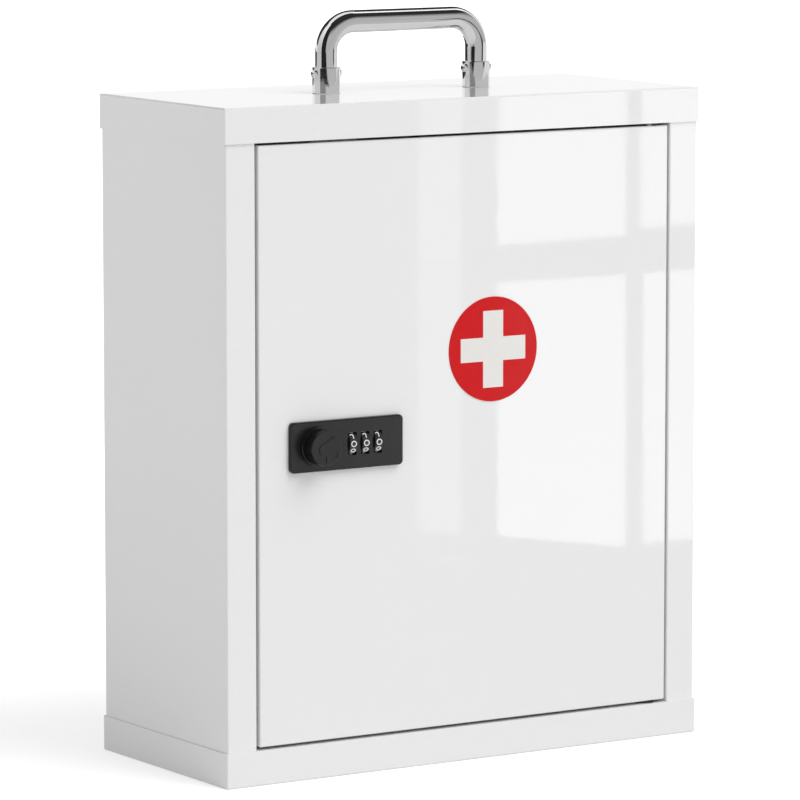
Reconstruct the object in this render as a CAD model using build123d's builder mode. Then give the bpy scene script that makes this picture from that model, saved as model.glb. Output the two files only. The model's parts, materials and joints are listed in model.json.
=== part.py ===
from build123d import *

import os
from math import cos, radians, sin

# A lockable steel medicine cabinet with a carrying handle and a three-wheel combination lock.
# Millimetres. X runs to the right along the front, Y to the back and Z up. The origin is on the
# floor, under the middle of the shell. At rest the door is closed and the lock's cam hangs down,
# clear of its strike, so the door is free to open.

# Shell of sheet steel: a top cap and a bottom tray, both fitted over the side panels
width = 320.0
depth = 140.0
height = 380.0
sheet = 1.0
bend = 0.9
frame_width = 20.0
return_depth = 14.0
hem_width = 9.0
body_width = width - 2 * sheet
body_depth = depth - 2 * sheet
opening_right = width / 2 - frame_width
body_front = -body_depth / 2
body_back = body_depth / 2
side_inside = body_width / 2 - sheet
header_bottom = height - frame_width

# Wall fixing holes in the back panel
wall_hole_radius = 3.0
wall_hole_columns = 220.0
wall_hole_rows = 260.0

# Shelves on clips
shelf_levels = {"lower_shelf": 132.0, "upper_shelf": 246.0}
shelf_front = -44.0
shelf_side_gap = 0.5
shelf_lip = 12.0
clip_reach = 8.0
clip_length = 12.0
clip_height = 10.0
clip_sheet = 1.2
clip_places = (-28.0, 48.0)

# Cross recess of every screw, as shares of the head's width
recess_span = 0.56
recess_slot = 0.13

# Door: a folded pan, flush with the door frame
gap_lock_side = 2.0
gap_hinge_side = 1.5
gap_top = 1.5
door_left = -opening_right + gap_lock_side
door_right = opening_right - gap_hinge_side
door_bottom = frame_width + gap_top
door_top = header_bottom - gap_top
door_front = body_front
door_back = door_front + return_depth
door_lip = 10.0
door_middle = (door_left + door_right) / 2
door_centre_z = (door_bottom + door_top) / 2

# Hat-section stiffener behind the door's skin
stiffener_x = 30.0
stiffener_hat = 26.0
stiffener_foot = 8.0
stiffener_depth = 9.0
stiffener_end_gap = 18.0

# Pivot pins at the top and bottom of the right-hand edge
pivot_inset = 10.0
pivot_depth = 5.0
pivot_x = door_right - pivot_inset
pivot_y = door_front + pivot_depth
pin_radius = 2.0
pin_reach = 4.5
pin_head_radius = 3.6
pin_head = 1.2
pin_tip = 0.5
running_gap = 0.05
bush_radius = 3.5
bush_flange_radius = 5.0
bush_flange = 0.8
bush_length = 3.0
bracket_sheet = 1.5
bracket_drop = 10.0
bracket_reach = 8.0

# Carrying handle: a bent tube in two closed ferrules
handle_spacing = 102.0
handle_radius = 6.35
handle_wall = 1.2
handle_rise = 40.5
handle_bend = 17.0
ferrule_radius = 8.0
ferrule_height = 15.0
ferrule_floor = 6.0
ferrule_edge = 0.35
rivet_radius = 1.5
rivet_height = 11.4
rivet_head_radius = 2.6
rivet_head_rim = 0.8
rivet_head_dome = 0.3
rivet_root = 0.8
plate_length = 150.0
plate_width = 28.0
plate_thickness = 1.5
plate_corner = 5.0
handle_screw_radius = 2.5
handle_screw_head_radius = 4.5
handle_screw_head = 2.8
handle_screw_crown = 1.2
handle_screw_recess = 1.4
thread_end_gap = 0.5
handle_washer_radius = 5.5
handle_washer = 1.0

# Combination lock: its place on the door, and its bezel
lock_x = -82.0
lock_z = 189.0
bezel_width = 74.0
bezel_height = 28.5
bezel_thickness = 3.0
bezel_corner = 2.6
bezel_skin = 1.2
bezel_rim = 1.5
bezel_edge = 0.8
bezel_screw_offset = 33.5
bezel_screw_radius = 1.25
bezel_screw_head_radius = 2.8
bezel_screw_head = 1.8
bezel_screw_crown = 0.7
bezel_screw_recess = 0.8
screw_clearance = 0.3
bezel_boss_radius = 3.0
bezel_front = door_front - bezel_thickness
housing_left = -112.0
housing_right = -52.0
housing_height = 24.0
housing_wall = 1.5
housing_fit = 0.3
cover_corner = 1.0
housing_front = bezel_front + bezel_skin
cover_proud = 1.0
cover_back = door_back + cover_proud
cover_front = cover_back - housing_wall
housing_length = housing_right - housing_left
housing_middle = (housing_left + housing_right) / 2
post_inset = 3.0
post_spacing = (housing_length - 2 * post_inset, housing_height - 2 * post_inset)
post_radius = 2.2
spindle_boss_radius = 6.5
spindle_boss = 4.0
cover_screw_radius = 1.1
cover_screw_head_radius = 2.0
cover_screw_head = 0.9
cover_screw_length = 7.0
countersunk_recess = 0.5

# Wheels of the lock, on one axle
wheel_pitch = 8.4
wheel_radius = 7.2
wheel_width = 4.9
wheel_proud = 1.8
wheel_edge = 0.35
numbers_per_wheel = 10
groove_radius = 0.6
groove_depth = 0.3
wheel_middle_x = -70.4
axle_radius = 1.5
axle_y = bezel_front - wheel_proud + wheel_radius
slot_width = 5.6
slot_height = 13.0
slot_corner = 0.8
window_height = 15.6
gate_space = 1.1
gate_disc = 0.8
gate_disc_radius = 3.8
gate_floor_radius = 2.7
gate_half_width = 1.6
wheel_hub_radius = 2.4
wheel_end_gap = 0.3
cheek = 1.5
cheek_gap_left = 0.2
cheek_gap_right = 1.6
gate_reach = 2 * gate_space + gate_disc
cheek_left = wheel_middle_x - wheel_pitch - wheel_width / 2 - gate_reach - cheek_gap_left
cheek_right = wheel_middle_x + wheel_pitch + wheel_width / 2 + cheek_gap_right

# Leaf spring that clicks the wheels from number to number
leaf_thickness = 0.4
leaf_gap = 0.5
leaf_ahead = 2.0
leaf_behind = 4.0
leaf_front = axle_y - leaf_ahead
leaf_back = axle_y + leaf_behind

# Knob
knob_x = -101.2
knob_radius = 9.9
knob_neck_radius = 9.3
knob_flange_radius = 11.4
knob_flange = 1.2
knob_height = 9.0
knob_gap = 0.3
knob_edge = 0.5
knob_flange_edge = 0.3
knob_neck = 1.2
knob_flare = 1.0
knob_front_wall = 2.0

# Marks engraved in the knob's face, from its centre
mark_line = 0.6
mark_depth = 0.35
hook_tip = (3.8, 6.0)
hook_bend = (-2.4, 2.7)
hook_side = (-5.0, -0.9)
hook_tail = (-3.5, -4.0)
hook_arrow = 1.1
pointer_mark = (-0.4, -6.4)
pointer_length = 3.8
corner_mark = (7.1, -5.9)
corner_length = 3.4

# Spindle and cam
spindle_radius = 4.0
spindle_nose_radius = 3.0
lobe_step_angle = 115.0
lobe_overlap = 0.6
cam_length = 46.0
cam_width = 14.0
cam_thickness = 2.0
cam_hub_radius = 8.0
cam_flats = 5.0
cam_tip_corner = 3.0
cam_gap = 0.8
cam_front = cover_back + cam_gap
cam_back = cam_front + cam_thickness
cam_washer = 0.8
cam_washer_radius = 6.0
cam_nut = 4.0
cam_nut_across = 10.0
spindle_over_nut = 0.8
spindle_end = cam_back + cam_washer + cam_nut + spindle_over_nut

# Locking bar: it slides through the gates in the wheels' discs as the knob turns
bar_travel = gate_space + gate_disc
bar_gap = 0.4
bar_thickness = 1.6
bar_front = axle_y + wheel_radius + bar_gap
bar_back = bar_front + bar_thickness
bar_half_height = 2.0
bar_nose_gap = 0.3
bar_nose_half_height = 0.4
bar_taper = 2.0
bar_tail = 1.5
finger = 0.5
finger_half_height = 1.2
finger_tip_behind = 3.0
finger_tip_y = axle_y + finger_tip_behind
lobe_low_radius = spindle_radius - bar_travel

# Code change slider in the lock's back cover
slider_x = -66.0
slider_width = 5.0
slider_height = 4.0
slider_travel = 3.0
slider_gap = 0.35
slider_proud = 1.0
slider_flange = 1.2
slider_flange_thickness = 0.9

# Strike, door stops and their bumpers
strike_thickness = 1.5
strike_back = door_back + strike_thickness
strike_half_height = 22.0
strike_screw_offset = 16.0
strike_screw_radius = 1.25
strike_x = -opening_right - sheet - hem_width / 2
strike_setback = 0.5
strike_screw_end = 2.0
stop_x = -80.0
stop_width = 30.0
stop_sheet = 1.2
stop_reach = 10.0
stop_foot = 8.0
bumper_radius = 4.0
bumper_gap = 0.3

# First-aid sign on the door
badge_x = 17.4
badge_z = 236.0
badge_radius = 30.0
badge_thickness = 0.3
cross_span = 44.0
cross_arm = 13.6

# Distance within which an edge counts as lying in a plane
near = 0.1

os.makedirs("parts", exist_ok=True)


def finish(piece, node):
    """Label a finished piece and write it to its own file."""
    piece.part.label = node
    export_step(piece.part, f"parts/{node}.step")


def slab(x_range, y_range, z_range, mode=Mode.ADD):
    """Add or cut a straight block between two limits on each axis."""
    middle = [(low + high) / 2 for low, high in (x_range, y_range, z_range)]
    with Locations(tuple(middle)):
        Box(
            x_range[1] - x_range[0],
            y_range[1] - y_range[0],
            z_range[1] - z_range[0],
            mode=mode,
        )


def facing_front(y):
    """Plane across the cabinet at a depth y: its own x and y are the cabinet's X and Z."""
    return Plane.XZ.offset(-y)


# ---------------------------------------------------------------- shell

with BuildPart() as top_cap:
    with BuildSketch(Plane.XY.offset(header_bottom)):
        Rectangle(width, depth)
    extrude(amount=frame_width)
    fillet(
        top_cap.edges().filter_by(Axis.Z) + top_cap.faces().sort_by(Axis.Z)[-1].edges(),
        bend,
    )
    with BuildSketch(Plane.XY.offset(header_bottom)):
        Rectangle(body_width, body_depth)
    extrude(amount=frame_width - sheet, mode=Mode.SUBTRACT)
    # the front lip folds back over the door opening
    slab(
        (-opening_right, opening_right),
        (-depth / 2, door_back),
        (header_bottom, header_bottom + sheet),
    )
    with BuildSketch(Plane.XY.offset(header_bottom)):
        with Locations((pivot_x, pivot_y)):
            Circle(bush_radius)
    extrude(amount=sheet, mode=Mode.SUBTRACT)
    # two screw holes for the handle
    with BuildSketch(Plane.XY.offset(height - sheet)):
        with GridLocations(handle_spacing, 0, 2, 1):
            Circle(handle_screw_radius)
    extrude(amount=sheet, mode=Mode.SUBTRACT)
finish(top_cap, "top_cap")

with BuildPart() as bottom_tray:
    with BuildSketch(Plane.XY):
        Rectangle(width, depth)
    extrude(amount=frame_width)
    fillet(
        bottom_tray.edges().filter_by(Axis.Z) + bottom_tray.faces().sort_by(Axis.Z)[0].edges(),
        bend,
    )
    with BuildSketch(Plane.XY.offset(sheet)):
        Rectangle(body_width, body_depth)
    extrude(amount=frame_width - sheet, mode=Mode.SUBTRACT)
    slab(
        (-opening_right, opening_right),
        (-depth / 2, door_back),
        (frame_width - sheet, frame_width),
    )
    with BuildSketch(Plane.XY.offset(frame_width)):
        with Locations((pivot_x, pivot_y)):
            Circle(bush_radius)
    extrude(amount=-sheet, mode=Mode.SUBTRACT)
finish(bottom_tray, "bottom_tray")

# The side is one folding: stile, jamb and hem at the front, a welding flange at the back
with BuildPart() as left_side:
    outside = -body_width / 2
    panel_z = (sheet, height - sheet)
    jamb_inside = -opening_right - sheet
    slab((outside, outside + sheet), (body_front, body_back), panel_z)
    slab((outside, -opening_right), (body_front, body_front + sheet), panel_z)
    slab((jamb_inside, -opening_right), (body_front, door_back), panel_z)
    slab((jamb_inside - hem_width, -opening_right), (door_back - sheet, door_back), panel_z)
    slab((outside, -opening_right), (body_back - sheet, body_back), panel_z)
    front_bends = left_side.edges().filter_by(Axis.Z).filter_by_position(
        Axis.Y, body_front - near, body_front + near
    )
    fillet(front_bends, bend)
    back_bend = (
        left_side.edges()
        .filter_by(Axis.Z)
        .filter_by_position(Axis.Y, body_back - near, body_back + near)
        .sort_by(Axis.X)[0]
    )
    fillet(back_bend, bend)
    # two screw holes for the strike in the hem
    with BuildSketch(facing_front(door_back)):
        with Locations((strike_x, lock_z)):
            with GridLocations(0, 2 * strike_screw_offset, 1, 2):
                Circle(strike_screw_radius)
    extrude(amount=sheet, mode=Mode.SUBTRACT)
finish(left_side, "left_side")

with BuildPart() as right_side:
    outside = body_width / 2
    slab((outside - sheet, outside), (body_front, body_back), panel_z)
    slab((opening_right, outside), (body_front, body_front + sheet), panel_z)
    slab((opening_right, opening_right + sheet), (body_front, door_back), panel_z)
    slab((opening_right, opening_right + sheet + hem_width), (door_back - sheet, door_back), panel_z)
    slab((opening_right, outside), (body_back - sheet, body_back), panel_z)
    front_bends = right_side.edges().filter_by(Axis.Z).filter_by_position(
        Axis.Y, body_front - near, body_front + near
    )
    fillet(front_bends, bend)
    back_bend = (
        right_side.edges()
        .filter_by(Axis.Z)
        .filter_by_position(Axis.Y, body_back - near, body_back + near)
        .sort_by(Axis.X)[-1]
    )
    fillet(back_bend, bend)
finish(right_side, "right_side")

with BuildPart() as back_panel:
    with BuildSketch(facing_front(body_back - sheet)):
        with Locations((0, height / 2)):
            Rectangle(2 * side_inside, height - 2 * sheet)
            with GridLocations(wall_hole_columns, wall_hole_rows, 2, 2):
                Circle(wall_hole_radius, mode=Mode.SUBTRACT)
    extrude(amount=sheet)
finish(back_panel, "back_panel")

# ---------------------------------------------------------------- shelves

for shelf_name, level in shelf_levels.items():
    with BuildPart() as shelf:
        half = side_inside - shelf_side_gap
        shelf_back = body_back - 2 * sheet - shelf_side_gap
        slab((-half, half), (shelf_front, shelf_back), (level, level + sheet))
        slab((-half, half), (shelf_front, shelf_front + sheet), (level - shelf_lip, level + sheet))
        slab((-half, half), (shelf_back - sheet, shelf_back), (level, level + shelf_lip))
        front_top = (
            shelf.edges()
            .filter_by(Axis.X)
            .filter_by_position(Axis.Y, shelf_front - near, shelf_front + near)
            .sort_by(Axis.Z)[-1]
        )
        back_low = (
            shelf.edges()
            .filter_by(Axis.X)
            .filter_by_position(Axis.Y, shelf_back - near, shelf_back + near)
            .sort_by(Axis.Z)[0]
        )
        fillet([front_top, back_low], bend)
    finish(shelf, shelf_name)

with BuildPart() as shelf_clips:
    for level in shelf_levels.values():
        for y in clip_places:
            for side in (-1, 1):
                wall = sorted((side * side_inside, side * (side_inside - clip_sheet)))
                ledge = sorted((side * side_inside, side * (side_inside - clip_reach)))
                span = (y - clip_length / 2, y + clip_length / 2)
                slab(wall, span, (level - clip_height, level))
                slab(ledge, span, (level - clip_sheet, level))
finish(shelf_clips, "shelf_clips")

# ---------------------------------------------------------------- handle

bar_z = height + handle_rise
tube_end_z = height + ferrule_floor
leg_x = handle_spacing / 2

with BuildPart() as handle_tube:
    with BuildLine():
        FilletPolyline(
            (-leg_x, 0, tube_end_z),
            (-leg_x, 0, bar_z),
            (leg_x, 0, bar_z),
            (leg_x, 0, tube_end_z),
            radius=handle_bend,
        )
    with BuildSketch(Plane.XY.offset(tube_end_z)):
        with Locations((-leg_x, 0)):
            Circle(handle_radius)
            Circle(handle_radius - handle_wall, mode=Mode.SUBTRACT)
    sweep()
    with BuildSketch(Plane.YZ.offset(-leg_x - handle_radius)):
        with Locations((0, height + rivet_height)):
            Circle(rivet_radius)
    extrude(amount=handle_spacing + 2 * handle_radius, mode=Mode.SUBTRACT)
finish(handle_tube, "handle_tube")

for ferrule_name, x in (("handle_ferrule_left", -leg_x), ("handle_ferrule_right", leg_x)):
    with BuildPart() as ferrule:
        with BuildSketch(Plane.XY.offset(height)):
            with Locations((x, 0)):
                Circle(ferrule_radius)
        extrude(amount=ferrule_height)
        fillet(ferrule.edges().filter_by(GeomType.CIRCLE), ferrule_edge)
        with BuildSketch(Plane.XY.offset(tube_end_z)):
            with Locations((x, 0)):
                Circle(handle_radius)
        extrude(amount=ferrule_height, mode=Mode.SUBTRACT)
        with BuildSketch(Plane.XY.offset(height)):
            with Locations((x, 0)):
                Circle(handle_screw_radius)
        extrude(amount=ferrule_floor, mode=Mode.SUBTRACT)
        with BuildSketch(Plane.YZ.offset(x - ferrule_radius)):
            with Locations((0, height + rivet_height)):
                Circle(rivet_radius)
        extrude(amount=2 * ferrule_radius, mode=Mode.SUBTRACT)
    finish(ferrule, ferrule_name)

with BuildPart() as handle_rivets:
    rivet_z = height + rivet_height
    dome_radius = (rivet_head_radius**2 + rivet_head_dome**2) / (2 * rivet_head_dome)
    for x in (-leg_x, leg_x):
        for side in (-1, 1):
            root = x + side * (ferrule_radius - rivet_root)
            rim = x + side * (ferrule_radius + rivet_head_rim)
            crown = rim + side * rivet_head_dome
            head_top = rivet_z + rivet_head_radius
            with BuildSketch(Plane.XZ):
                with BuildLine():
                    Polyline((crown, rivet_z), (root, rivet_z), (root, head_top), (rim, head_top))
                    RadiusArc((rim, head_top), (crown, rivet_z), side * dome_radius)
                make_face()
            revolve(axis=Axis((x, 0, rivet_z), (1, 0, 0)))
    # the heads sit on the round walls of the ferrules
    with BuildSketch(Plane.XY.offset(height)):
        with GridLocations(handle_spacing, 0, 2, 1):
            Circle(ferrule_radius)
    extrude(amount=ferrule_height + rivet_head_radius, mode=Mode.SUBTRACT)
    shank_end = ferrule_radius + rivet_head_rim / 2
    for x in (-leg_x, leg_x):
        with BuildSketch(Plane.YZ.offset(x - shank_end)):
            with Locations((0, rivet_z)):
                Circle(rivet_radius)
        extrude(amount=2 * shank_end)
finish(handle_rivets, "handle_rivets")

plate_top = height - sheet
plate_bottom = plate_top - plate_thickness
washer_bottom = plate_bottom - handle_washer

with BuildPart() as handle_backing_plate:
    with BuildSketch(Plane.XY.offset(plate_bottom)):
        RectangleRounded(plate_length, plate_width, plate_corner)
        with GridLocations(handle_spacing, 0, 2, 1):
            Circle(handle_screw_radius, mode=Mode.SUBTRACT)
    extrude(amount=plate_thickness)
finish(handle_backing_plate, "handle_backing_plate")

with BuildPart() as handle_washers:
    with BuildSketch(Plane.XY.offset(washer_bottom)):
        with GridLocations(handle_spacing, 0, 2, 1):
            Circle(handle_washer_radius)
            Circle(handle_screw_radius, mode=Mode.SUBTRACT)
    extrude(amount=handle_washer)
finish(handle_washers, "handle_washers")

with BuildPart() as handle_screws:
    with BuildSketch(Plane.XY.offset(washer_bottom)):
        with GridLocations(handle_spacing, 0, 2, 1):
            Circle(handle_screw_radius)
    extrude(amount=tube_end_z - thread_end_gap - washer_bottom)
    with BuildSketch(Plane.XY.offset(washer_bottom)):
        with GridLocations(handle_spacing, 0, 2, 1):
            Circle(handle_screw_head_radius)
    extrude(amount=-handle_screw_head)
    fillet(handle_screws.faces().group_by(Axis.Z)[0].edges(), handle_screw_crown)
    span = recess_span * 2 * handle_screw_head_radius
    slot = recess_slot * 2 * handle_screw_head_radius
    with BuildSketch(Plane.XY.offset(washer_bottom - handle_screw_head)):
        with GridLocations(handle_spacing, 0, 2, 1):
            Rectangle(span, slot)
            Rectangle(slot, span)
    extrude(amount=handle_screw_recess, mode=Mode.SUBTRACT)
finish(handle_screws, "handle_screws")

# ---------------------------------------------------------------- hinge

for bush_name, flange_z, outward in (
    ("hinge_bush_upper", header_bottom, 1),
    ("hinge_bush_lower", frame_width, -1),
):
    with BuildPart() as bush:
        with BuildSketch(Plane.XY.offset(flange_z)):
            with Locations((pivot_x, pivot_y)):
                Circle(bush_radius)
        extrude(amount=outward * bush_length)
        with BuildSketch(Plane.XY.offset(flange_z)):
            with Locations((pivot_x, pivot_y)):
                Circle(bush_flange_radius)
        extrude(amount=-outward * bush_flange)
        with BuildSketch(Plane.XY.offset(flange_z)):
            with Locations((pivot_x, pivot_y)):
                Circle(pin_radius + running_gap)
        extrude(amount=bush_length, both=True, mode=Mode.SUBTRACT)
    finish(bush, bush_name)

for end, flange_z, outward in (("upper", door_top, 1), ("lower", door_bottom, -1)):
    bracket_inner = flange_z - outward * bracket_drop
    # an angle bracket inside the corner of the door carries the pin's inner end
    with BuildPart() as hinge_bracket:
        plate = sorted((bracket_inner, bracket_inner - outward * bracket_sheet))
        leg = sorted((flange_z - outward * sheet, bracket_inner - outward * bracket_sheet))
        right = door_right - sheet
        slab((pivot_x - bracket_reach, right), (door_front + sheet, door_back - sheet), plate)
        slab((right - bracket_sheet, right), (door_front + sheet, door_back - sheet), leg)
        with BuildSketch(Plane.XY.offset(plate[0])):
            with Locations((pivot_x, pivot_y)):
                Circle(pin_radius)
        extrude(amount=bracket_sheet, mode=Mode.SUBTRACT)
    finish(hinge_bracket, f"hinge_bracket_{end}")

    with BuildPart() as hinge_pin:
        foot = bracket_inner - outward * (bracket_sheet + pin_head)
        tip = flange_z + outward * pin_reach
        with BuildSketch(Plane.XY.offset(foot)):
            with Locations((pivot_x, pivot_y)):
                Circle(pin_radius)
        extrude(amount=tip - foot)
        tip_face = hinge_pin.faces().sort_by(Axis.Z, reverse=outward < 0)[-1]
        chamfer(tip_face.edges(), pin_tip)
        with BuildSketch(Plane.XY.offset(foot)):
            with Locations((pivot_x, pivot_y)):
                Circle(pin_head_radius)
        extrude(amount=outward * pin_head)
    finish(hinge_pin, f"hinge_pin_{end}")

# ---------------------------------------------------------------- door

with BuildPart() as door_panel:
    door_width = door_right - door_left
    door_height = door_top - door_bottom
    door_centre = (door_middle, door_centre_z)
    with BuildSketch(facing_front(door_back)):
        with Locations(door_centre):
            Rectangle(door_width, door_height)
    extrude(amount=return_depth)
    fillet(
        door_panel.edges().filter_by(Axis.Y) + door_panel.faces().sort_by(Axis.Y)[0].edges(),
        bend,
    )
    with BuildSketch(facing_front(door_back)):
        with Locations(door_centre):
            Rectangle(door_width - 2 * sheet, door_height - 2 * sheet)
    extrude(amount=return_depth - sheet, mode=Mode.SUBTRACT)
    # the folded edges turn in again as a lip
    with BuildSketch(facing_front(door_back)):
        with Locations(door_centre):
            Rectangle(door_width - sheet, door_height - sheet)
            Rectangle(door_width - 2 * door_lip, door_height - 2 * door_lip, mode=Mode.SUBTRACT)
    extrude(amount=sheet)
    # cut-out for the lock's housing, and its two screw holes
    with BuildSketch(facing_front(door_front)):
        with Locations((housing_middle, lock_z)):
            Rectangle(housing_length + 2 * housing_fit, housing_height + 2 * housing_fit)
        with Locations((lock_x, lock_z)):
            with GridLocations(2 * bezel_screw_offset, 0, 2, 1):
                Circle(bezel_screw_radius + screw_clearance)
    extrude(amount=-sheet, mode=Mode.SUBTRACT)
    for edge_z in (door_top, door_bottom + sheet):
        with BuildSketch(Plane.XY.offset(edge_z)):
            with Locations((pivot_x, pivot_y)):
                Circle(pin_radius)
        extrude(amount=-sheet, mode=Mode.SUBTRACT)
finish(door_panel, "door_panel")

with BuildPart() as door_stiffener:
    skin_back = door_front + sheet
    span = (door_bottom + stiffener_end_gap, door_top - stiffener_end_gap)
    for side in (-1, 1):
        hat = stiffener_x + side * stiffener_hat / 2
        foot = sorted((hat - side * sheet, hat + side * stiffener_foot))
        leg = sorted((hat - side * sheet, hat))
        slab(foot, (skin_back, skin_back + sheet), span)
        slab(leg, (skin_back, skin_back + stiffener_depth), span)
    web = (stiffener_x - stiffener_hat / 2, stiffener_x + stiffener_hat / 2)
    slab(web, (skin_back + stiffener_depth - sheet, skin_back + stiffener_depth), span)
finish(door_stiffener, "door_stiffener")

with BuildPart() as badge_disc:
    with BuildSketch(facing_front(door_front)):
        with Locations((badge_x, badge_z)):
            Circle(badge_radius)
            Rectangle(cross_span, cross_arm, mode=Mode.SUBTRACT)
            Rectangle(cross_arm, cross_span, mode=Mode.SUBTRACT)
    extrude(amount=badge_thickness)
finish(badge_disc, "badge_disc")

with BuildPart() as badge_cross:
    with BuildSketch(facing_front(door_front)):
        with Locations((badge_x, badge_z)):
            Rectangle(cross_span, cross_arm)
            Rectangle(cross_arm, cross_span)
    extrude(amount=badge_thickness)
finish(badge_cross, "badge_cross")

# ---------------------------------------------------------------- lock, fixed pieces

wheel_centres = [wheel_middle_x + step * wheel_pitch for step in (-1, 0, 1)]

with BuildPart() as lock_bezel:
    with BuildSketch(facing_front(door_front)):
        with Locations((lock_x, lock_z)):
            RectangleRounded(bezel_width, bezel_height, bezel_corner)
    extrude(amount=bezel_thickness)
    fillet(lock_bezel.faces().sort_by(Axis.Y)[0].edges(), bezel_edge)
    with BuildSketch(facing_front(door_front)):
        with Locations((lock_x, lock_z)):
            Rectangle(bezel_width - 2 * bezel_rim, bezel_height - 2 * bezel_rim)
            with GridLocations(2 * bezel_screw_offset, 0, 2, 1):
                Circle(bezel_boss_radius, mode=Mode.SUBTRACT)
    extrude(amount=bezel_thickness - bezel_skin, mode=Mode.SUBTRACT)
    with BuildSketch(facing_front(housing_front)):
        for x in wheel_centres:
            with Locations((x, lock_z)):
                RectangleRounded(slot_width, slot_height, slot_corner)
        with Locations((knob_x, lock_z)):
            Circle(spindle_radius + knob_gap)
    extrude(amount=bezel_skin, mode=Mode.SUBTRACT)
    with BuildSketch(facing_front(door_front)):
        with Locations((lock_x, lock_z)):
            with GridLocations(2 * bezel_screw_offset, 0, 2, 1):
                Circle(bezel_screw_radius)
    extrude(amount=bezel_thickness - bezel_skin, mode=Mode.SUBTRACT)
finish(lock_bezel, "lock_bezel")

with BuildPart() as lock_fixing_screws:
    with BuildSketch(facing_front(door_front + sheet)):
        with Locations((lock_x, lock_z)):
            with GridLocations(2 * bezel_screw_offset, 0, 2, 1):
                Circle(bezel_screw_radius)
    extrude(amount=sheet + bezel_thickness - bezel_skin)
    with BuildSketch(facing_front(door_front + sheet)):
        with Locations((lock_x, lock_z)):
            with GridLocations(2 * bezel_screw_offset, 0, 2, 1):
                Circle(bezel_screw_head_radius)
    extrude(amount=-bezel_screw_head)
    fillet(lock_fixing_screws.faces().group_by(Axis.Y)[-1].edges(), bezel_screw_crown)
    span = recess_span * 2 * bezel_screw_head_radius
    slot = recess_slot * 2 * bezel_screw_head_radius
    with BuildSketch(facing_front(door_front + sheet + bezel_screw_head)):
        with Locations((lock_x, lock_z)):
            with GridLocations(2 * bezel_screw_offset, 0, 2, 1):
                Rectangle(span, slot)
                Rectangle(slot, span)
    extrude(amount=bezel_screw_recess, mode=Mode.SUBTRACT)
finish(lock_fixing_screws, "lock_fixing_screws")

with BuildPart() as lock_housing:
    inner_front = housing_front + housing_wall
    inner_depth = cover_front - inner_front
    with BuildSketch(facing_front(housing_front)):
        with Locations((housing_middle, lock_z)):
            Rectangle(housing_length, housing_height)
    extrude(amount=-(housing_wall + inner_depth))
    with BuildSketch(facing_front(inner_front)):
        with Locations((housing_middle, lock_z)):
            Rectangle(housing_length - 2 * housing_wall, housing_height - 2 * housing_wall)
    extrude(amount=-inner_depth, mode=Mode.SUBTRACT)
    # posts for the cover's screws, the spindle's boss, and the cheeks that hold the axle
    with BuildSketch(facing_front(inner_front)):
        with Locations((housing_middle, lock_z)):
            with GridLocations(*post_spacing, 2, 2):
                Circle(post_radius)
    extrude(amount=-inner_depth)
    with BuildSketch(facing_front(inner_front)):
        with Locations((knob_x, lock_z)):
            Circle(spindle_boss_radius)
    extrude(amount=-spindle_boss)
    inner_z = (lock_z - housing_height / 2 + housing_wall, lock_z + housing_height / 2 - housing_wall)
    slab((cheek_left - cheek, cheek_left), (inner_front, cover_front), inner_z)
    slab((cheek_right, cheek_right + cheek), (inner_front, cover_front), inner_z)
    with BuildSketch(Plane.YZ.offset(cheek_left - cheek)):
        with Locations((axle_y, lock_z)):
            Circle(axle_radius)
    extrude(amount=cheek_right + 2 * cheek - cheek_left, mode=Mode.SUBTRACT)
    # window that guides the locking bar
    slab(
        (cheek_left - cheek, cheek_left),
        (bar_front - slider_gap, bar_back + slider_gap),
        (lock_z - bar_half_height - slider_gap, lock_z + bar_half_height + slider_gap),
        Mode.SUBTRACT,
    )
    # window for the wheels, and the spindle's bearing
    window_right = wheel_centres[-1] + slot_width / 2
    slab(
        (cheek_left, window_right),
        (housing_front, inner_front),
        (lock_z - window_height / 2, lock_z + window_height / 2),
        Mode.SUBTRACT,
    )
    with BuildSketch(facing_front(housing_front)):
        with Locations((knob_x, lock_z)):
            Circle(spindle_radius + running_gap)
    extrude(amount=-(housing_wall + spindle_boss), mode=Mode.SUBTRACT)
    with BuildSketch(facing_front(cover_front)):
        with Locations((housing_middle, lock_z)):
            with GridLocations(*post_spacing, 2, 2):
                Circle(cover_screw_radius)
    extrude(amount=cover_screw_length - housing_wall, mode=Mode.SUBTRACT)
finish(lock_housing, "lock_housing")

with BuildPart() as lock_back_cover:
    with BuildSketch(facing_front(cover_back)):
        with Locations((housing_middle, lock_z)):
            Rectangle(housing_length, housing_height)
        with Locations((knob_x, lock_z)):
            Circle(spindle_radius + running_gap, mode=Mode.SUBTRACT)
        with Locations((slider_x, lock_z)):
            Rectangle(
                slider_width + 2 * slider_gap,
                slider_height + slider_travel + 2 * slider_gap,
                mode=Mode.SUBTRACT,
            )
    extrude(amount=housing_wall)
    cover_edges = (
        lock_back_cover.edges()
        .filter_by(Axis.Y)
        .filter_by(lambda edge: abs(edge.center().X - housing_middle) > housing_length / 2 - near)
    )
    fillet(cover_edges, cover_corner)
    for radius, taper, hole_depth in (
        (cover_screw_radius, 0, housing_wall),
        (cover_screw_head_radius, 45, cover_screw_head),
    ):
        with BuildSketch(facing_front(cover_back)):
            with Locations((housing_middle, lock_z)):
                with GridLocations(*post_spacing, 2, 2):
                    Circle(radius)
        extrude(amount=hole_depth, taper=taper, mode=Mode.SUBTRACT)
finish(lock_back_cover, "lock_back_cover")

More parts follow.
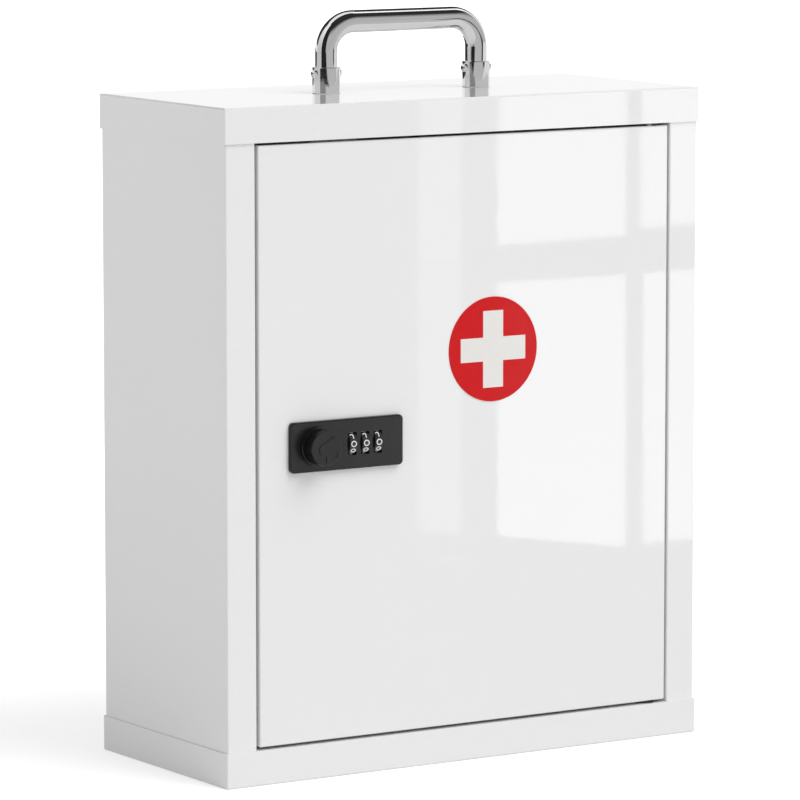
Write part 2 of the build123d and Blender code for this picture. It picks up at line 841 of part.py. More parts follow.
with BuildPart() as lock_cover_screws:
    with BuildSketch(facing_front(cover_back)):
        with Locations((housing_middle, lock_z)):
            with GridLocations(*post_spacing, 2, 2):
                Circle(cover_screw_radius)
    extrude(amount=cover_screw_length - thread_end_gap)
    with BuildSketch(facing_front(cover_back)):
        with Locations((housing_middle, lock_z)):
            with GridLocations(*post_spacing, 2, 2):
                Circle(cover_screw_head_radius)
    extrude(amount=cover_screw_head, taper=45)
    span = recess_span * 2 * cover_screw_head_radius
    slot = recess_slot * 2 * cover_screw_head_radius
    with BuildSketch(facing_front(cover_back)):
        with Locations((housing_middle, lock_z)):
            with GridLocations(*post_spacing, 2, 2):
                Rectangle(span, slot)
                Rectangle(slot, span)
    extrude(amount=countersunk_recess, mode=Mode.SUBTRACT)
finish(lock_cover_screws, "lock_cover_screws")

with BuildPart() as dial_axle:
    with BuildSketch(Plane.YZ.offset(cheek_left - cheek)):
        with Locations((axle_y, lock_z)):
            Circle(axle_radius)
    extrude(amount=cheek_right + 2 * cheek - cheek_left)
finish(dial_axle, "dial_axle")

# a leaf spring over the wheels, with its two ends bent up to the housing's roof
with BuildPart() as detent_spring:
    leaf_z = lock_z + wheel_radius + leaf_gap
    roof_z = lock_z + housing_height / 2 - housing_wall
    leaf_x = (cheek_left + leaf_gap, cheek_right - leaf_gap)
    leaf_y = (leaf_front, leaf_back)
    slab(leaf_x, leaf_y, (leaf_z, leaf_z + leaf_thickness))
    slab((leaf_x[0], leaf_x[0] + leaf_thickness), leaf_y, (leaf_z, roof_z))
    slab((leaf_x[1] - leaf_thickness, leaf_x[1]), leaf_y, (leaf_z, roof_z))
finish(detent_spring, "detent_spring")

# ---------------------------------------------------------------- lock, wheels

for number, x in enumerate(wheel_centres, start=1):
    with BuildPart() as wheel:
        left_face = x - wheel_width / 2
        hub_left = left_face - gate_reach + wheel_end_gap
        disc_left = left_face - gate_space - gate_disc
        with BuildSketch(Plane.YZ.offset(left_face)):
            with Locations((axle_y, lock_z)):
                Circle(wheel_radius)
        extrude(amount=wheel_width)
        fillet(wheel.edges().filter_by(GeomType.CIRCLE), wheel_edge)
        # grip grooves across the rim, half way between the numbers
        with BuildSketch(Plane.YZ.offset(left_face)):
            with Locations((axle_y, lock_z)):
                with PolarLocations(
                    wheel_radius + groove_radius - groove_depth, numbers_per_wheel, 180 / numbers_per_wheel
                ):
                    Circle(groove_radius)
        extrude(amount=wheel_width, mode=Mode.SUBTRACT)
        with BuildSketch(Plane.YZ.offset(disc_left)):
            with Locations((axle_y, lock_z)):
                Circle(gate_disc_radius)
        extrude(amount=gate_disc)
        slab(
            (disc_left, disc_left + gate_disc),
            (axle_y + gate_floor_radius, axle_y + gate_disc_radius),
            (lock_z - gate_half_width, lock_z + gate_half_width),
            Mode.SUBTRACT,
        )
        with BuildSketch(Plane.YZ.offset(hub_left)):
            with Locations((axle_y, lock_z)):
                Circle(wheel_hub_radius)
        extrude(amount=left_face - hub_left)
        with BuildSketch(Plane.YZ.offset(hub_left)):
            with Locations((axle_y, lock_z)):
                Circle(axle_radius + running_gap)
        extrude(amount=left_face + wheel_width - hub_left, mode=Mode.SUBTRACT)
    finish(wheel, f"dial_wheel_{number}")

with BuildPart() as locking_bar:
    nose_x = knob_x + spindle_radius + bar_nose_gap
    tail_x = wheel_centres[-1] - wheel_width / 2 - gate_space / 2 + bar_tail
    with BuildSketch(facing_front(bar_back)):
        with BuildLine():
            Polyline(
                (nose_x, lock_z - bar_nose_half_height),
                (nose_x + bar_taper, lock_z - bar_half_height),
                (tail_x, lock_z - bar_half_height),
                (tail_x, lock_z + bar_half_height),
                (nose_x + bar_taper, lock_z + bar_half_height),
                (nose_x, lock_z + bar_nose_half_height),
                close=True,
            )
        make_face()
    extrude(amount=bar_back - bar_front)
    for x in wheel_centres:
        finger_x = x - wheel_width / 2 - gate_space / 2
        slab(
            (finger_x - finger / 2, finger_x + finger / 2),
            (finger_tip_y, bar_back),
            (lock_z - finger_half_height, lock_z + finger_half_height),
        )
finish(locking_bar, "locking_bar")

# ---------------------------------------------------------------- lock, knob and cam

with BuildPart() as knob:
    knob_back = bezel_front - knob_gap
    knob_front = bezel_front - knob_height
    knob_shoulder = knob_back - knob_flange
    bore_end = knob_front + knob_front_wall
    face_plane = Plane(origin=(knob_x, knob_front, lock_z), x_dir=(1, 0, 0), z_dir=(0, -1, 0))
    with BuildSketch(Plane.XY.offset(lock_z)):
        with BuildLine():
            Polyline(
                (knob_x + spindle_nose_radius, knob_back),
                (knob_x + knob_flange_radius, knob_back),
                (knob_x + knob_flange_radius, knob_shoulder + knob_flange_edge),
                (knob_x + knob_flange_radius - knob_flange_edge, knob_shoulder),
                (knob_x + knob_neck_radius, knob_shoulder),
                (knob_x + knob_neck_radius, knob_shoulder - knob_neck),
                (knob_x + knob_radius, knob_shoulder - knob_neck - knob_flare),
                (knob_x + knob_radius, knob_front),
                (knob_x, knob_front),
                (knob_x, bore_end),
                (knob_x + spindle_nose_radius, bore_end),
                close=True,
            )
        make_face()
    revolve(axis=Axis((knob_x, 0, lock_z), (0, 1, 0)))
    fillet(knob.faces().sort_by(Axis.Y)[0].edges(), knob_edge)
    # a hooked turning arrow, a pointer and a corner mark
    with BuildSketch(face_plane):
        with BuildLine():
            stem = Line(hook_tip, hook_bend)
            ThreePointArc(hook_bend, hook_side, hook_tail)
        trace(line_width=mark_line)
        with Locations(hook_tip):
            RegularPolygon(hook_arrow, 3, rotation=(stem % 0).get_angle(Vector(-1, 0)))
        with Locations(pointer_mark):
            Rectangle(mark_line, pointer_length)
        with Locations(corner_mark):
            Rectangle(corner_length, mark_line, align=(Align.MAX, Align.MIN))
            Rectangle(mark_line, corner_length, align=(Align.MAX, Align.MIN))
    extrude(amount=-mark_depth, mode=Mode.SUBTRACT)
finish(knob, "knob")

with BuildPart() as spindle:
    lobe_front = bar_front - lobe_overlap
    lobe_back = bar_back + lobe_overlap
    for radius, front, back in (
        (spindle_nose_radius, bore_end, knob_back),
        (spindle_radius, knob_back, lobe_front),
        (spindle_radius, lobe_back, cam_front),
    ):
        with BuildSketch(facing_front(front)):
            with Locations((knob_x, lock_z)):
                Circle(radius)
        extrude(amount=front - back)
    # the lobe: its radius falls steadily over a quarter turn, so it lets the bar move in
    half_way = spindle_radius - bar_travel / 2
    lobe_plane = Plane(origin=(knob_x, lobe_front, lock_z), x_dir=(1, 0, 0), z_dir=(0, -1, 0))
    with BuildSketch(lobe_plane):
        with BuildLine():
            ThreePointArc(
                (spindle_radius, 0),
                (half_way * cos(radians(45)), half_way * sin(radians(45))),
                (0, lobe_low_radius),
            )
            low = CenterArc((0, 0), lobe_low_radius, 90, lobe_step_angle - 90)
            high = CenterArc((0, 0), spindle_radius, lobe_step_angle, 360 - lobe_step_angle)
            Line(low @ 1, high @ 0)
        make_face()
    extrude(amount=lobe_front - lobe_back)
    with BuildSketch(facing_front(cam_front)):
        with Locations((knob_x, lock_z)):
            Circle(spindle_nose_radius)
            Rectangle(cam_flats, 2 * spindle_nose_radius, mode=Mode.INTERSECT)
    extrude(amount=cam_front - spindle_end)
finish(spindle, "spindle")

with BuildPart() as cam:
    with BuildSketch(facing_front(cam_front)):
        with Locations((knob_x, lock_z)):
            Circle(cam_hub_radius)
        with Locations((knob_x, lock_z - cam_length / 2)):
            Rectangle(cam_width, cam_length)
    extrude(amount=-cam_thickness)
    tip_corners = cam.edges().filter_by(Axis.Y).group_by(Axis.Z)[0]
    fillet(tip_corners, cam_tip_corner)
    with BuildSketch(facing_front(cam_front)):
        with Locations((knob_x, lock_z)):
            Circle(spindle_nose_radius)
            Rectangle(cam_flats, 2 * spindle_nose_radius, mode=Mode.INTERSECT)
    extrude(amount=-cam_thickness, mode=Mode.SUBTRACT)
finish(cam, "cam")

with BuildPart() as cam_washer_part:
    with BuildSketch(facing_front(cam_back)):
        with Locations((knob_x, lock_z)):
            Circle(cam_washer_radius)
            Circle(spindle_nose_radius, mode=Mode.SUBTRACT)
    extrude(amount=-cam_washer)
finish(cam_washer_part, "cam_washer")

with BuildPart() as cam_nut_part:
    with BuildSketch(facing_front(cam_back + cam_washer)):
        with Locations((knob_x, lock_z)):
            RegularPolygon(cam_nut_across / 2, 6, major_radius=False)
            Circle(spindle_nose_radius, mode=Mode.SUBTRACT)
    extrude(amount=-cam_nut)
finish(cam_nut_part, "cam_nut")

with BuildPart() as code_slider:
    low_z = lock_z - (slider_height + slider_travel) / 2
    slab(
        (slider_x - slider_width / 2, slider_x + slider_width / 2),
        (cover_front - slider_gap, cover_back + slider_proud),
        (low_z, low_z + slider_height),
    )
    flange_back = cover_front - slider_gap
    slab(
        (slider_x - slider_width / 2 - slider_flange, slider_x + slider_width / 2 + slider_flange),
        (flange_back - slider_flange_thickness, flange_back),
        (low_z - slider_flange, low_z + slider_height + slider_flange),
    )
finish(code_slider, "code_slider")

# ---------------------------------------------------------------- strike and door stops

with BuildPart() as strike_plate:
    slab(
        (-opening_right - sheet - hem_width, -opening_right - strike_setback),
        (door_back, strike_back),
        (lock_z - strike_half_height, lock_z + strike_half_height),
    )
    for radius, taper, hole_depth in (
        (strike_screw_radius, 0, strike_thickness),
        (2 * strike_screw_radius, 45, strike_screw_radius),
    ):
        with BuildSketch(facing_front(strike_back)):
            with Locations((strike_x, lock_z)):
                with GridLocations(0, 2 * strike_screw_offset, 1, 2):
                    Circle(radius)
        extrude(amount=hole_depth, taper=taper, mode=Mode.SUBTRACT)
finish(strike_plate, "strike_plate")

with BuildPart() as strike_screws:
    for radius, taper, length in (
        (strike_screw_radius, 0, strike_thickness + sheet + strike_screw_end),
        (2 * strike_screw_radius, 45, strike_screw_radius),
    ):
        with BuildSketch(facing_front(strike_back)):
            with Locations((strike_x, lock_z)):
                with GridLocations(0, 2 * strike_screw_offset, 1, 2):
                    Circle(radius)
        extrude(amount=length, taper=taper)
    span = recess_span * 4 * strike_screw_radius
    slot = recess_slot * 4 * strike_screw_radius
    with BuildSketch(facing_front(strike_back)):
        with Locations((strike_x, lock_z)):
            with GridLocations(0, 2 * strike_screw_offset, 1, 2):
                Rectangle(span, slot)
                Rectangle(slot, span)
    extrude(amount=countersunk_recess, mode=Mode.SUBTRACT)
finish(strike_screws, "strike_screws")

with BuildPart() as door_stops:
    stop_front = door_back + stop_sheet
    stop_span = (stop_x - stop_width / 2, stop_x + stop_width / 2)
    for flange_z, outward in ((header_bottom, 1), (frame_width, -1)):
        seat = flange_z + outward * sheet
        tail = sorted((seat, seat + outward * stop_sheet))
        drop = sorted((flange_z - outward * stop_reach, seat + outward * stop_sheet))
        slab(stop_span, (door_back - stop_foot, stop_front + stop_sheet), tail)
        slab(stop_span, (stop_front, stop_front + stop_sheet), drop)
finish(door_stops, "door_stops")

with BuildPart() as door_bumpers:
    for flange_z, outward in ((header_bottom, 1), (frame_width, -1)):
        with BuildSketch(facing_front(stop_front)):
            with Locations((stop_x, flange_z - outward * (stop_reach - bumper_radius))):
                Circle(bumper_radius)
        extrude(amount=stop_front - door_back - bumper_gap)
finish(door_bumpers, "door_bumpers")
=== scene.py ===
import json
import math

import bmesh
import bpy
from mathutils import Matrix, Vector


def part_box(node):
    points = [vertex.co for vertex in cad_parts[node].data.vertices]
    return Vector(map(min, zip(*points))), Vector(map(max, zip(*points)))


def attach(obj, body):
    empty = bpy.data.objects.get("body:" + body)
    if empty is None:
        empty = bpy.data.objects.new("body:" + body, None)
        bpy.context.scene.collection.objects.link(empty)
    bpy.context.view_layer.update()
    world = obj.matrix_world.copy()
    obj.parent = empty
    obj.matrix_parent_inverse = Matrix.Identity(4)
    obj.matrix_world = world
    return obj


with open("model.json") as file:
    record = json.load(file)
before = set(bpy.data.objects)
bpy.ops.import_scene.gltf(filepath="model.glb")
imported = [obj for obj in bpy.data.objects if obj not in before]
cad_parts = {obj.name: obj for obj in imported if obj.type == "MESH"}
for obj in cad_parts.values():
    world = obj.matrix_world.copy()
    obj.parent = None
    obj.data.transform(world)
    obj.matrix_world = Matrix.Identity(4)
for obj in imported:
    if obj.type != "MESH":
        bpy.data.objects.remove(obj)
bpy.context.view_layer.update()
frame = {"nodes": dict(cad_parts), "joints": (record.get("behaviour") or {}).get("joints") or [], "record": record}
nodes = frame["nodes"]
scene = bpy.context.scene

# ------------------------------------------------------------------ places, in metres

DOOR_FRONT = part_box("door_panel")[0].y
TOP_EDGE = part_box("top_cap")[1]
WHEEL_RADIUS = (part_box("dial_wheel_1")[1].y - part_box("dial_wheel_1")[0].y) / 2
DIAL_AXES = {
    joint["child"]: Vector(joint["pos_m"])
    for joint in frame["joints"]
    if joint["name"].startswith("dial_")
}

# The camera's own point and aim, found from the cabinet's straight edges
CAMERA_POINT = Vector((-1.6492, -2.5787, 0.5954))
CAMERA_YAW = math.radians(32.582)
CAMERA_PITCH = math.radians(7.354)
CAMERA_LENS = 239.9
SENSOR_WIDTH = 36
# The lens in pixels, and the middle, of a picture of 800 x 800
FOCAL_PIXELS = 5330.6
PICTURE_MIDDLE = 400


# ------------------------------------------------------------------ materials

def set_range(node, low, high, out_low, out_high):
    """Give a Map Range node its limits."""
    for socket, value in zip(("From Min", "From Max", "To Min", "To Max"), (low, high, out_low, out_high)):
        node.inputs[socket].default_value = value


class Shader:
    """A material with a Principled surface and short calls for its patterns."""

    def __init__(self, name, base, roughness, metallic=0.0, **sockets):
        self.material = bpy.data.materials.new(name)
        self.material.use_nodes = True
        self.tree = self.material.node_tree
        self.surface = self.tree.nodes["Principled BSDF"]
        self.surface.inputs["Base Color"].default_value = (*base, 1.0)
        self.surface.inputs["Roughness"].default_value = roughness
        self.surface.inputs["Metallic"].default_value = metallic
        for socket, value in sockets.items():
            self.surface.inputs[socket.replace("_", " ")].default_value = value
        self.base = base
        self.height = None
        coordinates = self.tree.nodes.new("ShaderNodeTexCoord")
        self.place = coordinates.outputs["Object"]

    def stretched(self, scale, rotation=(0.0, 0.0, 0.0)):
        mapping = self.tree.nodes.new("ShaderNodeMapping")
        mapping.inputs["Scale"].default_value = scale
        mapping.inputs["Rotation"].default_value = rotation
        self.tree.links.new(self.place, mapping.inputs["Vector"])
        return mapping.outputs["Vector"]

    def noise(self, scale, detail=3.0, place=None, distortion=0.0):
        node = self.tree.nodes.new("ShaderNodeTexNoise")
        node.inputs["Scale"].default_value = scale
        node.inputs["Detail"].default_value = detail
        node.inputs["Distortion"].default_value = distortion
        self.tree.links.new(place or self.place, node.inputs["Vector"])
        return node.outputs["Fac"]

    def spots(self, scale, place=None):
        node = self.tree.nodes.new("ShaderNodeTexVoronoi")
        node.inputs["Scale"].default_value = scale
        self.tree.links.new(place or self.place, node.inputs["Vector"])
        return node.outputs["Distance"]

    def spread(self, source, low, high, out_low=0.0, out_high=1.0):
        node = self.tree.nodes.new("ShaderNodeMapRange")
        set_range(node, low, high, out_low, out_high)
        self.tree.links.new(source, node.inputs["Value"])
        return node.outputs["Result"]

    def times(self, first, second):
        node = self.tree.nodes.new("ShaderNodeMath")
        node.operation = "MULTIPLY"
        self.tree.links.new(first, node.inputs[0])
        self.tree.links.new(second, node.inputs[1])
        return node.outputs[0]

    def paint(self, mask, colour):
        """Mix another colour over what is there, by a mask."""
        node = self.tree.nodes.new("ShaderNodeMix")
        node.data_type = "RGBA"
        socket = self.surface.inputs["Base Color"]
        if socket.links:
            self.tree.links.new(socket.links[0].from_socket, node.inputs[6])
        else:
            node.inputs[6].default_value = (*self.base, 1.0)
        node.inputs[7].default_value = (*colour, 1.0)
        self.tree.links.new(mask, node.inputs[0])
        self.tree.links.new(node.outputs[2], socket)
        return self

    def rough(self, source):
        self.tree.links.new(source, self.surface.inputs["Roughness"])
        return self

    def bump(self, source, distance, strength=1.0):
        node = self.tree.nodes.new("ShaderNodeBump")
        node.inputs["Strength"].default_value = strength
        node.inputs["Distance"].default_value = distance
        self.tree.links.new(source, node.inputs["Height"])
        if self.height:
            self.tree.links.new(self.height, node.inputs["Normal"])
        self.height = node.outputs["Normal"]
        self.tree.links.new(self.height, self.surface.inputs["Normal"])
        return self


def white_paint():
    """Gloss powder coat: a faint orange peel, specks of dust and slightly uneven gloss."""
    s = Shader("white_gloss_coat", (0.86, 0.86, 0.86), 0.035, IOR=1.5)
    s.paint(s.spread(s.noise(9.0, 2.0), 0.35, 0.75, 0.0, 0.35), (0.835, 0.835, 0.84))
    s.paint(s.spread(s.spots(420.0), 0.035, 0.02, 0.0, 0.25), (0.62, 0.61, 0.6))
    s.rough(s.spread(s.noise(14.0, 5.0), 0.3, 0.8, 0.02, 0.05))
    s.bump(s.noise(260.0, 2.0), 0.000005)
    return s.material


def chrome():
    """Polished chrome with hairline wiping marks and a faint bloom."""
    s = Shader("polished_chrome", (0.80, 0.80, 0.81), 0.04, 1.0)
    s.paint(s.spread(s.noise(60.0, 4.0), 0.45, 0.8, 0.0, 0.3), (0.70, 0.70, 0.71))
    hairlines = s.noise(900.0, 4.0, s.stretched((1.0, 1.0, 0.05)))
    s.rough(s.spread(s.times(s.noise(35.0, 4.0), hairlines), 0.1, 0.5, 0.03, 0.10))
    s.bump(hairlines, 0.000002, 0.4)
    return s.material


def turned_chrome():
    """The ferrules' turned chrome, with fine rings from the lathe."""
    s = Shader("turned_chrome", (0.80, 0.80, 0.81), 0.07, 1.0)
    s.paint(s.spread(s.noise(90.0, 4.0), 0.45, 0.8, 0.0, 0.3), (0.70, 0.70, 0.71))
    rings = s.noise(700.0, 3.0, s.stretched((0.05, 0.05, 1.0)))
    s.rough(s.spread(rings, 0.3, 0.7, 0.05, 0.10))
    s.bump(rings, 0.000003, 0.5)
    return s.material


def zinc_steel():
    """Zinc-plated steel, brushed, with a cloudy passivation."""
    s = Shader("zinc_plated_steel", (0.60, 0.60, 0.62), 0.3, 1.0)
    s.paint(s.spread(s.noise(55.0, 6.0, distortion=1.0), 0.4, 0.7), (0.50, 0.52, 0.56))
    s.paint(s.spread(s.noise(220.0, 3.0), 0.55, 0.8, 0.0, 0.5), (0.66, 0.62, 0.52))
    streaks = s.noise(300.0, 5.0, s.stretched((1.0, 1.0, 14.0)))
    s.rough(s.spread(streaks, 0.3, 0.7, 0.22, 0.42))
    s.bump(streaks, 0.00001, 0.5)
    return s.material


def black_plastic():
    """Satin moulded plastic with a fine spark-eroded grain, rubbed smoother in patches."""
    s = Shader("black_satin_plastic", (0.0095, 0.0095, 0.0092), 0.25, IOR=1.33)
    s.paint(s.spread(s.noise(120.0, 4.0), 0.4, 0.75, 0.0, 0.5), (0.015, 0.015, 0.0145))
    s.paint(s.spread(s.spots(900.0), 0.05, 0.02, 0.0, 0.3), (0.05, 0.05, 0.048))
    s.rough(s.spread(s.noise(70.0, 5.0), 0.3, 0.75, 0.19, 0.30))
    s.bump(s.noise(3800.0, 2.0), 0.000006, 0.6)
    return s.material


def wheel_plastic():
    """The wheels' darker, smoother plastic, polished by thumbs."""
    s = Shader("wheel_black_plastic", (0.012, 0.012, 0.012), 0.35, IOR=1.46)
    s.paint(s.spread(s.noise(300.0, 4.0), 0.45, 0.8, 0.0, 0.5), (0.03, 0.03, 0.029))
    s.rough(s.spread(s.noise(160.0, 4.0), 0.3, 0.75, 0.28, 0.5))
    s.bump(s.noise(2600.0, 2.0), 0.00002, 0.5)
    return s.material


def digit_paint():
    """White pad-printed ink, thin at its edges."""
    s = Shader("white_digit_ink", (0.86, 0.86, 0.84), 0.45)
    s.paint(s.spread(s.noise(2500.0, 3.0), 0.5, 0.8, 0.0, 0.4), (0.62, 0.62, 0.6))
    s.rough(s.spread(s.noise(1800.0, 3.0), 0.3, 0.7, 0.38, 0.55))
    s.bump(s.noise(2400.0, 2.0), 0.00001, 0.5)
    return s.material


def film(name, base, other):
    """Printed gloss film with a faint mottle."""
    s = Shader(name, base, 0.2, IOR=1.5, Specular_IOR_Level=0.06)
    s.paint(s.spread(s.noise(180.0, 4.0), 0.4, 0.75, 0.0, 0.6), other)
    s.rough(s.spread(s.noise(90.0, 4.0), 0.3, 0.75, 0.08, 0.18))
    s.bump(s.noise(700.0, 2.0), 0.000006)
    return s.material


def nylon():
    """The hinge bushes' black nylon, waxy and slightly scuffed."""
    s = Shader("black_nylon", (0.018, 0.018, 0.019), 0.45)
    s.paint(s.spread(s.noise(250.0, 4.0), 0.4, 0.75), (0.032, 0.032, 0.031))
    s.rough(s.spread(s.noise(400.0, 3.0), 0.3, 0.7, 0.38, 0.55))
    s.bump(s.noise(1500.0, 2.0), 0.00002, 0.5)
    return s.material


def rubber():
    s = Shader("black_rubber", (0.035, 0.035, 0.036), 0.8)
    s.paint(s.spread(s.noise(300.0, 5.0), 0.45, 0.8), (0.075, 0.073, 0.07))
    s.rough(s.spread(s.noise(500.0, 3.0), 0.3, 0.7, 0.7, 0.92))
    s.bump(s.noise(2200.0, 3.0), 0.00006, 0.7)
    return s.material


def brass():
    s = Shader("stamped_brass", (0.70, 0.50, 0.22), 0.3, 1.0)
    s.paint(s.spread(s.noise(200.0, 5.0), 0.45, 0.75), (0.50, 0.34, 0.16))
    grain = s.noise(500.0, 4.0, s.stretched((0.1, 1.0, 1.0)))
    s.rough(s.spread(grain, 0.3, 0.7, 0.22, 0.42))
    s.bump(grain, 0.00001, 0.5)
    return s.material


white = white_paint()
bright = chrome()
turned = turned_chrome()
zinc = zinc_steel()
black = black_plastic()
wheel_black = wheel_plastic()
ink = digit_paint()
made = {
    "white_paint": white,
    "chrome": bright,
    "zinc_steel": zinc,
    "black_plastic": black,
    "nylon": nylon(),
    "rubber": rubber(),
    "brass": brass(),
    "red_vinyl": film("red_film", (0.66, 0.010, 0.013), (0.62, 0.009, 0.012)),
    "white_vinyl": film("white_film", (0.86, 0.845, 0.82), (0.83, 0.815, 0.79)),
}
for part in frame["record"]["subparts"]:
    node = nodes[part["node"]]
    chosen = made[part["material_slot"]]
    if part["node"].startswith("dial_wheel"):
        chosen = wheel_black
    if part["node"].startswith("handle_ferrule"):
        chosen = turned
    node.data.materials.clear()
    node.data.materials.append(chosen)


# ------------------------------------------------------------------ numbers on the wheels

# Each number's strokes, from about -1 to 1 across and up. A stroke is closed (True) or open, and
# its points are smooth unless they are marked as corners.
CORNER = True
STROKES = {
    0: [(True, [(0, 1), (1, 0), (0, -1), (-1, 0)])],
    1: [(False, [(-1.1, 0.5, CORNER), (0.1, 1, CORNER), (0.1, -1, CORNER)])],
    2: [(False, [(-0.9, 0.5), (0, 1), (0.9, 0.45), (-0.95, -1, CORNER), (0.95, -1, CORNER)])],
    3: [(False, [
        (-0.8, 0.7), (0, 1), (0.75, 0.55), (-0.1, 0.08, CORNER), (0.9, -0.5), (0, -1), (-0.9, -0.6),
    ])],
    4: [(False, [
        (0.4, -1, CORNER), (0.4, 1, CORNER), (-0.95, -0.45, CORNER), (0.95, -0.45, CORNER),
    ])],
    5: [(False, [
        (0.8, 1, CORNER), (-0.65, 1, CORNER), (-0.8, 0.1, CORNER), (0.1, 0.3), (0.9, -0.35),
        (0, -1), (-0.9, -0.7),
    ])],
    6: [(False, [
        (0.6, 0.95), (-0.5, 0.5), (-0.95, -0.35), (0, -1), (0.9, -0.4), (0, 0.2), (-0.9, -0.3),
    ])],
    7: [(False, [(-0.9, 1, CORNER), (0.9, 1, CORNER), (-0.3, -1, CORNER)])],
    8: [
        (True, [(0, 1), (0.7, 0.54), (0, 0.08), (-0.7, 0.54)]),
        (True, [(0, 0.08), (0.95, -0.46), (0, -1), (-0.95, -0.46)]),
    ],
    9: [(False, [
        (-0.85, -0.85), (0.4, -0.7), (0.95, 0.35), (0, 1), (-0.9, 0.4), (0, -0.15), (0.9, 0.3),
    ])],
}
DIGIT_WIDTH = 0.0038
DIGIT_HEIGHT = 0.0037
DIGIT_STROKE = 0.00066
DIGIT_RISE = 0.00006
DIGIT_STEP = 360 / len(STROKES)


def digit_mesh(digit):
    """A number as a round-edged line, flattened, centred in its own XY plane."""
    curve = bpy.data.curves.new(f"number_{digit}", "CURVE")
    curve.dimensions = "3D"
    curve.bevel_depth = DIGIT_STROKE / 2
    curve.bevel_resolution = 2
    curve.use_fill_caps = True
    curve.resolution_u = 6
    half_width = (DIGIT_WIDTH - DIGIT_STROKE) / 2
    half_height = (DIGIT_HEIGHT - DIGIT_STROKE) / 2
    for closed, points in STROKES[digit]:
        line = curve.splines.new("BEZIER")
        line.bezier_points.add(len(points) - 1)
        line.use_cyclic_u = closed
        for knot, (across, up, *corner) in zip(line.bezier_points, points):
            knot.co = (across * half_width, up * half_height, 0)
            knot.handle_left_type = knot.handle_right_type = "FREE" if corner else "AUTO"
        knots = [knot.co.copy() for knot in line.bezier_points]
        for k, knot in enumerate(line.bezier_points):
            if knot.handle_left_type == "FREE":
                knot.handle_left = knot.co.lerp(knots[max(k - 1, 0)], 1 / 3)
                knot.handle_right = knot.co.lerp(knots[min(k + 1, len(knots) - 1)], 1 / 3)
    holder = bpy.data.objects.new("number_holder", curve)
    scene.collection.objects.link(holder)
    bpy.context.view_layer.update()
    drawn = holder.evaluated_get(bpy.context.evaluated_depsgraph_get())
    mesh = bpy.data.meshes.new_from_object(drawn)
    bpy.data.objects.remove(holder)
    return mesh


for name, axis in DIAL_AXES.items():
    ring = bmesh.new()
    for digit in STROKES:
        mesh = digit_mesh(digit)
        # number 0 faces the front, and 1 sits above it
        for v in mesh.vertices:
            angle = math.radians(DIGIT_STEP * digit) + v.co.y / WHEEL_RADIUS
            radius = WHEEL_RADIUS + v.co.z * DIGIT_RISE / (DIGIT_STROKE / 2)
            v.co = Vector((
                axis.x + v.co.x,
                axis.y - radius * math.cos(angle),
                axis.z + radius * math.sin(angle),
            ))
        ring.from_mesh(mesh)
    ring_mesh = bpy.data.meshes.new(f"wheel_numbers_{name[-1]}")
    ring.to_mesh(ring_mesh)
    ring.free()
    ring_mesh.materials.append(ink)
    numbers = bpy.data.objects.new(ring_mesh.name, ring_mesh)
    scene.collection.objects.link(numbers)
    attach(numbers, name)


# ------------------------------------------------------------------ floor, cards, lamps, world

def seen_plainly(tree):
    """1 for camera, glossy and transmission rays, which see the background as it is written."""
    path = tree.nodes.new("ShaderNodeLightPath")
    total = path.outputs["Is Camera Ray"]
    for name in ("Is Glossy Ray", "Is Transmission Ray"):
        node = tree.nodes.new("ShaderNodeMath")
        node.operation = "MAXIMUM"
        tree.links.new(total, node.inputs[0])
        tree.links.new(path.outputs[name], node.inputs[1])
        total = node.outputs[0]
    return total


def floor_material():
    """A pale floor that keeps its shadow near the object and fades to white away from it."""
    m = bpy.data.materials.new("pale_floor")
    m.use_nodes = True
    t = m.node_tree
    surface = t.nodes["Principled BSDF"]
    surface.inputs["Base Color"].default_value = (0.78, 0.78, 0.78, 1)
    surface.inputs["Roughness"].default_value = 0.9
    surface.inputs["Specular IOR Level"].default_value = 0.0
    surface.inputs["Emission Color"].default_value = (1, 1, 1, 1)
    coordinates = t.nodes.new("ShaderNodeTexCoord")
    distance = t.nodes.new("ShaderNodeVectorMath")
    distance.operation = "LENGTH"
    t.links.new(coordinates.outputs["Object"], distance.inputs[0])
    lift = t.nodes.new("ShaderNodeMapRange")
    set_range(lift, FLOOR_NEAR, FLOOR_FAR, FLOOR_LIFT, FLOOR_LIFT_FAR)
    t.links.new(distance.outputs["Value"], lift.inputs["Value"])
    scaled = t.nodes.new("ShaderNodeMath")
    scaled.operation = "MULTIPLY"
    t.links.new(lift.outputs["Result"], scaled.inputs[1])
    t.links.new(seen_plainly(t), scaled.inputs[0])
    t.links.new(scaled.outputs[0], surface.inputs["Emission Strength"])
    return m


